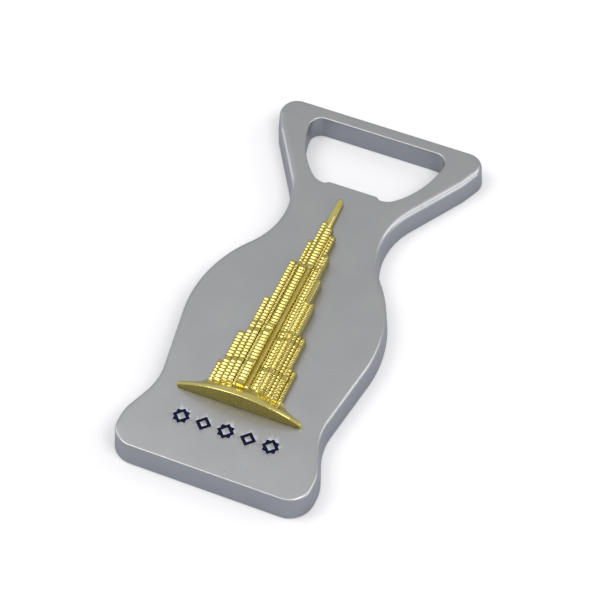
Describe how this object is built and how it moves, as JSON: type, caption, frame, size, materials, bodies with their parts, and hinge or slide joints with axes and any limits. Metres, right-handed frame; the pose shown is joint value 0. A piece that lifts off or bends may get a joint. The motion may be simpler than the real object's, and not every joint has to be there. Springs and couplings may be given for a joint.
{
  "type": "souvenir bottle opener",
  "caption": "Flat die-cast bottle opener with a cap window and prying lip in its flared head, a waisted body, a raised relief of a stepped high-rise and small enamel ornaments at its foot.",
  "frame": {"origin": "middle of the outline on the flat back face, which is the face it lies on", "axes": "+Z out of the front face with the relief, +Y towards the head with the cap window, +X to the right seen from the front"},
  "size_m": [0.0538, 0.112, 0.0118],
  "materials": {
    "plate_metal": "satin pearl-nickel plating on die-cast zinc alloy, fine grain",
    "gold_plate": "bright gold plating on die-cast zinc alloy",
    "enamel": "glossy navy hard enamel",
    "adhesive": "cured adhesive film"
  },
  "bodies": {
    "root": {"opener_plate": "plate_metal", "tower_relief": "gold_plate", "relief_adhesive": "adhesive", "enamel_motif_1": "enamel", "enamel_motif_2": "enamel", "enamel_motif_3": "enamel", "enamel_motif_4": "enamel", "enamel_motif_5": "enamel"}
  },
  "joints": []
}
